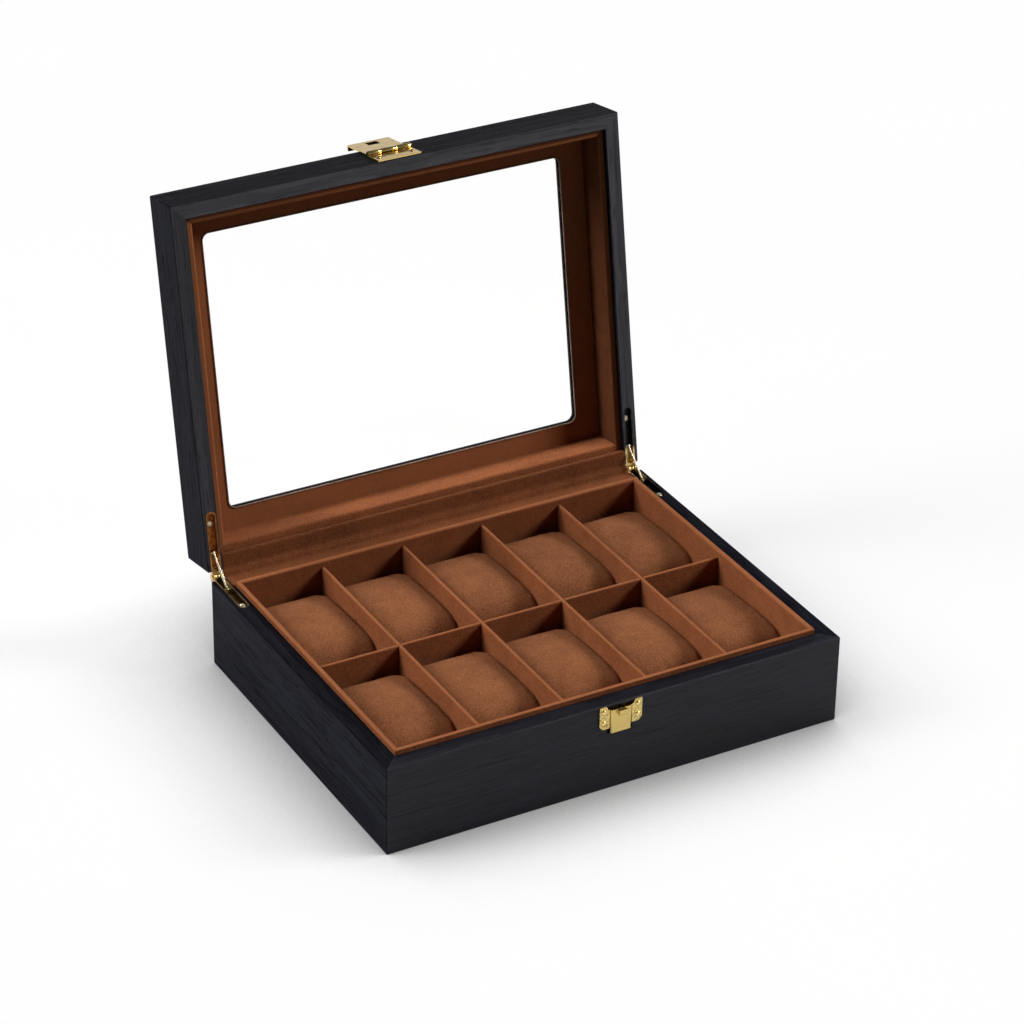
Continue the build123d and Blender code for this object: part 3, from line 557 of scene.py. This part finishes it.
def make_pillow(number, cover, seam):
    row = 0 if number <= CELL_COLUMNS else 1
    column = (number - 1) % CELL_COLUMNS
    points, faces = pillow_form()
    item = add_mesh(f"cushion_{number}", points, faces, cover)
    picker = random.Random(40 + number)
    swell(item, 0.0024, 4.0 + picker.uniform(-0.6, 0.6), 0.0011)
    settle(item, number * 7.3)
    item.data.materials.clear()
    item.data.materials.append(cover)
    item.data.polygons.foreach_set("use_smooth", [True] * len(item.data.polygons))
    bpy.context.view_layer.update()
    ring_x = (PILLOW_HALF - 0.9) * MM
    across = Vector((1, 0, 0))
    rings = [rolled(end_outline(item, side * ring_x), across, 0.0003) for side in (-1, 1)]
    stitched = add_mesh(f"cushion_seam_{number}", *merge(rings), seam)
    smooth = item.modifiers.new("Subdivision", "SUBSURF")
    smooth.levels = smooth.render_levels = 1
    place = Vector((
        CELL_PITCH * (column - (CELL_COLUMNS - 1) / 2),
        FRONT_ROW_Y if row == 0 else BACK_ROW_Y,
        0,
    )) * MM
    for piece in (item, stitched):
        piece.data.transform(Matrix.Translation(place))
        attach(piece, f"pillow_{number}")
    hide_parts(f"pillow_{number}")


# ---------------------------------------------------------------------------
# The cloth over the joint at the back
# ---------------------------------------------------------------------------

CLOTH_HALF = 127.2
CLOTH_THICK = 0.5
CLOTH_ON_LID = [(95.44, 55.3), (95.46, 54.2), (95.52, 53.1), (95.8, 52.68), (96.4, 52.6)]
CLOTH_ON_BASE = [(103.2, 51.68), (101.0, 51.7), (98.5, 51.7), (96.0, 51.7), (94.15, 51.7)]


def turned(y, z):
    """Where a point of the shut lid is with the lid open, as (y, z) in millimetres."""
    spot = LID_TURN @ (Vector((0, y, z)) * MM)
    return spot.y / MM, spot.z / MM


def cloth_path():
    """The strip's side view, from under the lid's lining down to the base's lining."""
    rim = [(96.4 + (103.6 - 96.4) * i / 5, 52.6) for i in range(1, 6)]
    path = [turned(y, z) for y, z in CLOTH_ON_LID + rim]
    fold = [(107.3, 54.62), (106.5, 54.5), (105.7, 54.05), (105.05, 53.35), (104.7, 52.6)]
    path += fold + [(104.25, 51.95)] + CLOTH_ON_BASE
    return path


def make_cloth(material):
    path = cloth_path()
    across = 180
    normals = []
    for i in range(len(path)):
        y0, z0 = path[max(0, i - 1)]
        y1, z1 = path[min(len(path) - 1, i + 1)]
        along = Vector((0, y1 - y0, z1 - z0)).normalized()
        normals.append(Vector((1, 0, 0)).cross(along))
    points, faces = [], []
    for side in (0.5, -0.5):
        for j in range(across + 1):
            x = -CLOTH_HALF + 2 * CLOTH_HALF * j / across
            for i, (y, z) in enumerate(path):
                free = math.exp(-((i - 12.5) / 2.6) ** 2)
                wave = noise.noise(Vector((x * 0.045, i * 0.35, 3.0)))
                pucker = noise.noise(Vector((x * 0.30, i * 0.5, 9.0)))
                lift = 0.14 * free * wave + 0.05 * free * pucker
                shift = side * CLOTH_THICK + lift
                near_end = max(0.0, 1 - (CLOTH_HALF - abs(x)) / 6)
                spread = 0.55 * near_end * (0.4 + 0.6 * free)
                spot = Vector((x + math.copysign(spread, x), y, z))
                points.append((spot + normals[i] * shift) * MM)
    row = len(path)
    sheet = row * (across + 1)
    for j in range(across):
        for i in range(row - 1):
            a = j * row + i
            faces.append((a, a + 1, a + row + 1, a + row))
            faces.append((sheet + a, sheet + a + row, sheet + a + row + 1, sheet + a + 1))
        for i in (0, row - 1):
            a = j * row + i
            ring = (a, a + row, sheet + a + row, sheet + a)
            faces.append(ring if i == 0 else tuple(reversed(ring)))
    for j in (0, across):
        for i in range(row - 1):
            a = j * row + i
            ring = (a, sheet + a, sheet + a + 1, a + 1)
            faces.append(ring if j == 0 else tuple(reversed(ring)))
    item = add_mesh("hinge_cloth", points, faces, material)
    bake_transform(item)
    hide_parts("hinge_cloth_base", "hinge_cloth_lid")


# ---------------------------------------------------------------------------
# Piping round the window
# ---------------------------------------------------------------------------

PIPING_HALF = (109.85, 79.05)
PIPING_SHIFT = -1.3
PIPING_CORNER = 4.4
PIPING_LEVEL = 73.45
PIPING_RADIUS = 0.5


def make_piping(material):
    """The rolled edge of the suede round the window's opening, on the lid's inner panel."""
    reach_x, reach_y = (half - PIPING_CORNER for half in PIPING_HALF)
    corners = []
    for quarter, (sx, sy) in enumerate(((1, 1), (-1, 1), (-1, -1), (1, -1))):
        hub = Vector((PIPING_SHIFT + sx * reach_x, sy * reach_y, PIPING_LEVEL))
        turns = [math.radians(90 * quarter + 90 * k / 8) for k in range(9)]
        corners.append([hub + PIPING_CORNER * Vector((math.cos(a), math.sin(a), 0)) for a in turns])
    path = []
    for corner, following in zip(corners, corners[1:] + corners[:1]):
        path += corner
        path += [corner[-1].lerp(following[0], k / 40) for k in range(1, 40)]
    points, faces = rolled(path, Vector((0, 0, 1)), PIPING_RADIUS)
    item = add_mesh("window_piping", [LID_TURN @ (p * MM) for p in points], faces, material)
    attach(item, "lid")


# ---------------------------------------------------------------------------
# Underside felt
# ---------------------------------------------------------------------------


def make_felt(material):
    """A cut sheet of felt glued into the recess under the base."""
    half_x, half_y = 0.1260, 0.0940
    nx, ny = 64, 48
    points, faces = [], []
    for level in (0, 1):
        for j in range(ny + 1):
            for i in range(nx + 1):
                x = -half_x + 2 * half_x * i / nx
                y = -half_y + 2 * half_y * j / ny
                wobble = 0.00006 * noise.noise(Vector((x * 90, y * 90, level * 5.0)))
                z = 0.00012 + wobble if level == 0 else 0.0011
                points.append(Vector((x, y, z)))
    row = nx + 1
    sheet = row * (ny + 1)
    for j in range(ny):
        for i in range(nx):
            a = j * row + i
            faces.append((a, a + row, a + row + 1, a + 1))
            faces.append((sheet + a, sheet + a + 1, sheet + a + row + 1, sheet + a + row))
    edge = [i for i in range(nx)] + [nx + j * row for j in range(ny)]
    edge += [ny * row + nx - i for i in range(nx)] + [(ny - j) * row for j in range(ny)]
    for k, a in enumerate(edge):
        b = edge[(k + 1) % len(edge)]
        faces.append((a, b, sheet + b, sheet + a))
    item = add_mesh("felt_sheet", points, faces, material)
    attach(item, "base")
    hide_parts("underside_felt")


# ---------------------------------------------------------------------------
# Screws and nails
# ---------------------------------------------------------------------------


def screw_head(radius, height, washer=0.0, sides=64):
    """A pan head with a cross recess on an optional washer, its seat at z 0."""
    profile = [(radius * 0.96, -0.05), (radius, 0.12 * height), (radius, 0.4 * height)]
    for i in range(1, 17):
        a = math.radians(90 * i / 16.5)
        profile.append((radius * math.cos(a), height * (0.4 + 0.6 * math.sin(a))))
    points, faces = lathe(profile, sides)
    arm, reach, depth = radius * 0.13, radius * 0.62, height * 0.55
    for p in points:
        inside = min(abs(p.x), abs(p.y)) < arm and max(abs(p.x), abs(p.y)) < reach
        if inside and p.z > 0.4 * height:
            p.z -= depth * (1 - max(abs(p.x), abs(p.y)) / reach * 0.55)
    if not washer:
        return points, faces
    for p in points:
        p.z += washer
    rim = [(radius * 0.86, -0.05), (radius * 0.9, 0.1), (radius * 0.9, washer + 0.05)]
    return merge([(points, faces), lathe(rim, sides)])


def nail_head(radius, height, sides=40):
    profile = [(radius * 0.97, -0.05), (radius, 0.1 * height)]
    for i in range(1, 11):
        a = math.radians(90 * i / 10.6)
        profile.append((radius * math.cos(a), height * (0.1 + 0.9 * math.sin(a))))
    return lathe(profile, sides)


def placed(form, matrix):
    points, faces = form
    return [matrix @ (p * MM) for p in points], faces


def make_fixings(name, node, form, matrices, body, material):
    parts = [placed(form, matrix) for matrix in matrices]
    item = add_mesh(name, *merge(parts), material)
    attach(item, body)
    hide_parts(node)


# ---------------------------------------------------------------------------
# Stays
# ---------------------------------------------------------------------------

STAY_ROOT = Vector((94.0, 50.6))
STAY_PIN_IN_LID = (93.6, 53.9)


def stay_bar(length):
    """A drawn bar along Z from one eye to the other, flattened in X and slimmer in the middle."""
    around, along = 16, 24
    points, faces = [], []
    for i in range(along + 1):
        t = i / along
        end = abs(2 * t - 1) ** 6
        wide, thick = 0.70 + 0.28 * end, 0.58
        for k in range(around):
            angle = 2 * math.pi * k / around
            spot = (thick * math.cos(angle), wide * math.sin(angle), 1.1 + (length - 1.5) * t)
            points.append(Vector(spot))
    for i in range(along):
        for k in range(around):
            m = (k + 1) % around
            here, there = i * around, (i + 1) * around
            faces.append((here + k, here + m, there + m, there + k))
    faces.append(tuple(reversed(range(around))))
    faces.append(tuple(range(along * around, (along + 1) * around)))
    return points, faces


def make_stay(name, x, material):
    """A slim bar with a round eye on its rivet and a rounded boss on its cross pin."""
    tip = Vector(turned(*STAY_PIN_IN_LID))
    run = tip - STAY_ROOT
    length = run.length
    across = Matrix.Rotation(math.radians(90), 4, "Y")
    circle = [Vector((0, math.cos(a), math.sin(a))) * 1.15
              for a in (2 * math.pi * k / 40 for k in range(40))]
    boss = [(0.95, -0.6), (1.18, -0.42), (1.25, 0.0), (1.18, 0.42), (0.95, 0.6)]
    cross_pin = [(0.40, -1.86), (0.52, -1.70), (0.52, 1.70), (0.40, 1.86)]
    parts = [rolled(circle, Vector((1, 0, 0)), 0.29, 12), stay_bar(length)]
    for profile in (boss, cross_pin):
        points, faces = lathe(profile, 40)
        lift = Matrix.Translation((0, 0, length)) @ across
        parts.append(([lift @ p for p in points], faces))
    points, faces = merge(parts)
    lean = Matrix.Rotation(math.atan2(-run.x, run.y), 4, "X")
    place = Matrix.Translation((x, *STAY_ROOT)) @ lean
    item = add_mesh(f"{name}_arm", [(place @ p) * MM for p in points], faces, material)
    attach(item, name)
    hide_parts(name)


# ---------------------------------------------------------------------------
# Rolled barrels round the hinge pins
# ---------------------------------------------------------------------------

# Places along the pin and radii of the barrel's section
BARREL = (
    (-1.18, 1.15), (-1.18, 1.55), (-1.0, 1.82), (-0.5, 1.92), (0.0, 1.95),
    (0.5, 1.92), (1.0, 1.82), (1.18, 1.55), (1.18, 1.15),
)
BARREL_SIDES = 32

# The web of the lid's leaf, folded down to the bridge between its lugs: (y, z), lid shut
HEEL = (
    (103.0, 56.0), (103.3, 55.95), (103.55, 55.75), (103.6, 55.4), (103.6, 54.3),
    (104.2, 54.3), (104.2, 55.7), (104.1, 56.2), (103.8, 56.6), (103.4, 56.78), (103.0, 56.8),
)
HEEL_HALF = 2.1


def make_barrel(name, side, material):
    """A short rolled barrel on the pin, between the two lugs of the lid's leaf, and its heel."""
    points, faces = [], []
    for x, reach in BARREL:
        for k in range(BARREL_SIDES):
            angle = 2 * math.pi * k / BARREL_SIDES
            points.append(HINGE + Vector((
                side * HINGE_X + x, reach * math.cos(angle), reach * math.sin(angle),
            )) * MM)
    for i in range(len(BARREL)):
        here, there = i * BARREL_SIDES, (i + 1) % len(BARREL) * BARREL_SIDES
        for k in range(BARREL_SIDES):
            m = (k + 1) % BARREL_SIDES
            faces.append((here + k, here + m, there + m, there + k))
    near = len(points)
    far = near + len(HEEL)
    for x in (-HEEL_HALF, HEEL_HALF):
        for y, z in HEEL:
            points.append(LID_TURN @ (Vector((side * HINGE_X + x, y, z)) * MM))
    for k in range(len(HEEL)):
        m = (k + 1) % len(HEEL)
        faces.append((near + k, near + m, far + m, far + k))
    faces.append(tuple(range(far - 1, near - 1, -1)))
    faces.append(tuple(range(far, far + len(HEEL))))
    item = add_mesh(name, points, faces, material)
    bevel = item.modifiers.new("edges", "BEVEL")
    bevel.width = 0.08 * MM
    bevel.segments = 2
    bevel.limit_method = "ANGLE"
    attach(item, "lid")


# ---------------------------------------------------------------------------
# Dressing the frame
# ---------------------------------------------------------------------------

UP = (0.0, 0.0, 1.0)

DEEP = (0.155, 0.046, 0.018)
LIGHT = (0.242, 0.074, 0.028)
PALE = (0.385, 0.140, 0.058)
# Colours of the hinge leaves' webs: painted shade and painted reflection in their channels.
SHADE_COPPER = (0.30, 0.125, 0.032)
SHADE_BRONZE = (0.17, 0.115, 0.045)
SHADE_BLACK = (0.030, 0.027, 0.024)


def shades(share):
    """The three suede colours, lighter or darker than they are on the boards: lit and shaded
    copies, painted light and painted shade.
    """
    return [tuple(share * c for c in colour) for colour in (DEEP, LIGHT, PALE)]


wood_x = wood("black_oak_x", "X", 0.26)
wood_y = wood("black_oak_y", "Y", 0.03)
lid_top_wood = wood("black_oak_top", "X", 0.02, lid=True)
# Lid rails: their rims carry a painted reflection, fainter on the left; the front and back rails
# are darkened, a painted shade.
lid_x = wood("black_oak_lid_x", "X", 0.02, lid=True, painted_rim_sheen=1.0, painted_shade_share=0.5)
lid_left = wood("black_oak_lid_left", "Y", 0.02, lid=True, painted_rim_sheen=0.7)
lid_right = wood("black_oak_lid_right", "Y", 0.02, lid=True, painted_rim_sheen=1.0)
# Board and lid suede: paler on faces turned up or towards the lid's rim, a painted sheen.
board = suede("suede_board", DEEP, LIGHT, PALE, UP)
lid_board = suede("suede_lid", DEEP, LIGHT, PALE, RIM_OF_LID)
# Painted shade: the lid's right lining is a darker copy of the suede, its rim kept pale, a painted
# highlight.
lid_side = suede("suede_lid_side_shaded", *shades(0.35), RIM_OF_LID, edge=PALE)
# Painted light: the lid's back lining, the ledge, is a lighter copy of the suede.
lid_ledge = suede("suede_lid_ledge_lit", *shades(1.2))
# Painted shade: the cloth over the hinge joint is a darker copy of the suede.
strip = suede("suede_strip_shaded", *shades(0.8))
cover = suede("suede_cushion", (0.155, 0.049, 0.020), (0.240, 0.083, 0.034), (0.385, 0.162, 0.074))
seam = suede("suede_seam", (0.110, 0.034, 0.014), (0.170, 0.057, 0.024), (0.250, 0.104, 0.052))
gold = brass("brass")
hammered = brass(
    "brass_hammered", 0.6, rgb(0.70, 0.53, 0.20), dents=1.0, grain=620.0, relief=0.0012,
)
# Darker brass on the latch lever: a painted shade for the dark surroundings its front reflects.
hood = brass("brass_hood", 0.12, rgb(0.60, 0.44, 0.15), 0.05)
bright = brass("brass_bright", 0.12, rgb(0.78, 0.58, 0.24))
# Brass paled by a painted highlight, for the screws and stays.
pale = brass("brass_pale", 0.05, rgb(0.93, 0.83, 0.60), 0.14)
grey = steel("steel")
glass = clear_glass("window_glass")

dress(wood_x, "base_front_wall", "base_back_wall", "base_bottom_panel", bevel=0.25)
dress(wood_y, "base_left_wall", "base_right_wall", bevel=0.25)
dress(lid_x, "lid_front_rail", "lid_back_rail", bevel=0.25)
dress(lid_top_wood, "lid_top_frame", bevel=0.25)
dress(lid_left, "lid_left_rail", bevel=0.25)
dress(lid_right, "lid_right_rail", bevel=0.25)
lid_suede = {"right": lid_side, "back": lid_ledge}
for side in ("front", "back", "left", "right"):
    dress(board, f"base_liner_{side}", bevel=0.2)
    dress(lid_suede.get(side, lid_board), f"lid_liner_{side}", bevel=0.2)
dress(board, "floor_liner", "long_divider", bevel=0.2)
dress(board, *(f"cross_divider_{i}" for i in range(1, 5)), bevel=0.2)
dress(lid_board, "window_panel", bevel=0.4)
dress(glass, "lid_glass")
dress(hammered, "latch_plate", bevel=0.12)
dress(gold, "hasp_plate", "hasp", bevel=0.12)
# Each leaf's web carries its own painted shade colour, darkest on the right.
dress(leaf_brass("leaf_base_brass", UP, SHADE_BRONZE), "base_leaf_left", bevel=0.1)
dress(leaf_brass("leaf_base_black", UP, SHADE_BLACK), "base_leaf_right", bevel=0.1)
dress(leaf_brass("leaf_left_brass", RIM_OF_LID, SHADE_COPPER), "lid_leaf_left", bevel=0.1)
dress(leaf_brass("leaf_right_brass", RIM_OF_LID, SHADE_BLACK, 0.25), "lid_leaf_right", bevel=0.1)
dress(hood, "latch_lever", bevel=0.15)
dress(bright, "hinge_pin_left", "hinge_pin_right", bevel=0.1)
dress(gold, "stay_rivets", "latch_pin", "hasp_pin")
dress(grey, "latch_spring")

BASE_SCREWS = [
    Matrix.Translation(Vector((side * HINGE_X, 75.4, 48.8)) * MM) @ Matrix.Rotation(turn, 4, "Z")
    for side, turn in ((-1, 0.5), (1, 1.1))
]
LID_SCREWS = [
    LID_TURN @ Matrix.Translation(Vector((side * HINGE_X, 77.0, 56.0)) * MM)
    @ Matrix.Rotation(math.pi, 4, "X") @ Matrix.Rotation(turn, 4, "Z")
    for side, turn in ((-1, 0.2), (1, 0.9))
]
OUT_OF_FRONT = Matrix.Rotation(math.radians(90), 4, "X")
LATCH_NAILS = [
    Matrix.Translation(Vector((side * 10.2, -104.9, z)) * MM) @ OUT_OF_FRONT
    for side in (-1, 1) for z in (41.85, 48.45)
]
HASP_NAILS = [
    LID_TURN @ Matrix.Translation(Vector((side * 10.2, -104.9, 58.2)) * MM) @ OUT_OF_FRONT
    for side in (-1, 1)
]
pan = screw_head(2.05, 1.6)
tall_pan = screw_head(2.05, 1.5, washer=1.1)
dome = nail_head(1.45, 0.75)
make_fixings("base_screws", "base_hinge_screws", tall_pan, BASE_SCREWS, "base", pale)
make_fixings("lid_screws", "lid_hinge_screws", pan, LID_SCREWS, "lid", pale)
make_fixings("latch_pins", "latch_nails", dome, LATCH_NAILS, "base", bright)
make_fixings("hasp_pins", "hasp_nails", dome, HASP_NAILS, "lid", bright)

for number in range(1, 2 * CELL_COLUMNS + 1):
    make_pillow(number, cover, seam)
make_barrel("hinge_barrel_left", -1, bright)
make_barrel("hinge_barrel_right", 1, bright)
make_stay("stay_left", -HINGE_X, pale)
make_stay("stay_right", HINGE_X, pale)
make_cloth(strip)
make_piping(suede("suede_piping", (0.15, 0.085, 0.055), (0.26, 0.17, 0.12), (0.48, 0.38, 0.31)))
make_felt(felt("felt"))

# ---------------------------------------------------------------------------
# Floor, light and camera
# ---------------------------------------------------------------------------


# How far from the box the floor's painted shadow reaches, in metres, and how its openness becomes a
# glow
CONTACT_REACH = 0.10
OPENNESS_GAIN = 1.12
CONTACT_FALL = 2.1
FLOOR_GLOW = 0.75


def make_floor():
    """A pale sweep that glows white to the eye; its glow is dimmed round the box, a painted shadow,
    beside the shadows the lamps cast on it.
    """
    s = Shader("floor")
    grain = s.noise(s.coords(), 3.0, 2.0)
    plain = s.node("BsdfDiffuse")
    s.fill(plain, Color=s.blend(grain, rgb(0.23, 0.23, 0.23), rgb(0.25, 0.25, 0.25)))
    # Painted shadow: the glow is dimmed by how closed in the floor is near the box.
    near = s.node("AmbientOcclusion", samples=8)
    near.inputs["Distance"].default_value = CONTACT_REACH
    contact = s.math("MINIMUM", s.math("MULTIPLY", near.outputs["AO"], OPENNESS_GAIN), 1.0)
    contact = s.math("POWER", contact, CONTACT_FALL)
    path = s.node("LightPath")
    seen = s.math("MAXIMUM", path.outputs["Is Camera Ray"], path.outputs["Is Transmission Ray"])
    seen = s.math("MAXIMUM", seen, path.outputs["Is Glossy Ray"])
    glow = s.node("Emission")
    s.fill(glow, Color=rgb(1.0, 1.0, 1.0))
    strength = s.math("MULTIPLY", s.math("MULTIPLY", seen, contact), FLOOR_GLOW)
    s.put(glow.inputs["Strength"], strength)
    both = s.node("AddShader")
    s.put(both.inputs[0], plain.outputs["BSDF"])
    s.put(both.inputs[1], glow.outputs["Emission"])
    s.put(s.out.inputs["Surface"], both.outputs["Shader"])
    size = 6.0
    corners = [(-size, -size, 0), (size, -size, 0), (size, size, 0), (-size, size, 0)]
    floor = add_mesh("floor", corners, [(0, 1, 2, 3)], s.material, smooth=False)


def make_world():
    """White to the eye and through glass; metal sees it white at the horizon and dim above."""
    world = bpy.data.worlds.new("studio")
    world.use_nodes = True
    bpy.context.scene.world = world
    tree = world.node_tree
    tree.nodes.clear()

    def node(kind):
        return tree.nodes.new("ShaderNode" + kind)

    path = node("LightPath")
    towards = node("SeparateXYZ")
    tree.links.new(node("TexCoord").outputs["Generated"], towards.inputs[0])
    ceiling = node("MapRange")
    for key, number in (("From Min", 0.05), ("From Max", 0.35), ("To Min", 1.0), ("To Max", 0.15)):
        ceiling.inputs[key].default_value = number
    tree.links.new(towards.outputs["Z"], ceiling.inputs["Value"])
    room = node("Background")
    room.inputs["Color"].default_value = rgb(0.92, 0.96, 1.0)
    room.inputs["Strength"].default_value = 0.02
    mirrored = node("Background")
    mirrored.inputs["Color"].default_value = rgb(1.0, 1.0, 1.0)
    tree.links.new(ceiling.outputs["Result"], mirrored.inputs["Strength"])
    white = node("Background")
    white.inputs["Color"].default_value = rgb(1.0, 1.0, 1.0)
    white.inputs["Strength"].default_value = 1.0
    shader = room.outputs["Background"]
    for ray, sky in (
        ("Is Glossy Ray", mirrored), ("Is Transmission Ray", white), ("Is Camera Ray", white),
    ):
        pick = node("MixShader")
        tree.links.new(path.outputs[ray], pick.inputs[0])
        tree.links.new(shader, pick.inputs[1])
        tree.links.new(sky.outputs["Background"], pick.inputs[2])
        shader = pick.outputs["Shader"]
    tree.links.new(shader, node("OutputWorld").inputs["Surface"])


def make_sun(name, towards, strength, spread, colour, mirrored=True):
    """A large soft lamp in the direction `towards`, seen from the box."""
    lamp = bpy.data.lights.new(name, "SUN")
    lamp.energy = strength
    lamp.angle = math.radians(spread)
    lamp.color = colour
    item = bpy.data.objects.new(name, lamp)
    item.rotation_mode = "QUATERNION"
    item.rotation_quaternion = Vector(towards).to_track_quat("Z", "Y")
    item.visible_glossy = mirrored
    bpy.context.scene.collection.objects.link(item)


def make_camera():
    lens = bpy.data.cameras.new("camera")
    lens.lens = 128.24
    lens.sensor_width = 36.0
    lens.clip_end = 100.0
    item = bpy.data.objects.new("camera", lens)
    place = Vector((-0.82937, -1.45917, 1.07186))
    back = (place - Vector((0.043254, 0.0901, 0.055))).normalized()
    right = Vector((0, 0, 1)).cross(back).normalized()
    up = back.cross(right)
    roll = math.radians(0.883)
    right, up = (
        right * math.cos(roll) + up * math.sin(roll),
        up * math.cos(roll) - right * math.sin(roll),
    )
    turn = Matrix((right, up, back)).transposed().to_4x4()
    item.matrix_world = Matrix.Translation(place) @ turn
    bpy.context.scene.collection.objects.link(item)
    bpy.context.scene.camera = item


make_floor()
make_world()
make_sun("key", (0.766, -0.341, 0.545), 0.68 * math.pi, 20, (1.0, 0.99, 0.97))
make_sun("fill", (-0.797, 0.290, 0.530), 0.58 * math.pi, 26, (1.0, 1.0, 1.0), mirrored=False)
make_sun("high", (-0.566, 0.240, 0.788), 0.40 * math.pi, 30, (1.0, 1.0, 1.0), mirrored=False)
make_camera()
bpy.context.scene.view_settings.view_transform = "Standard"
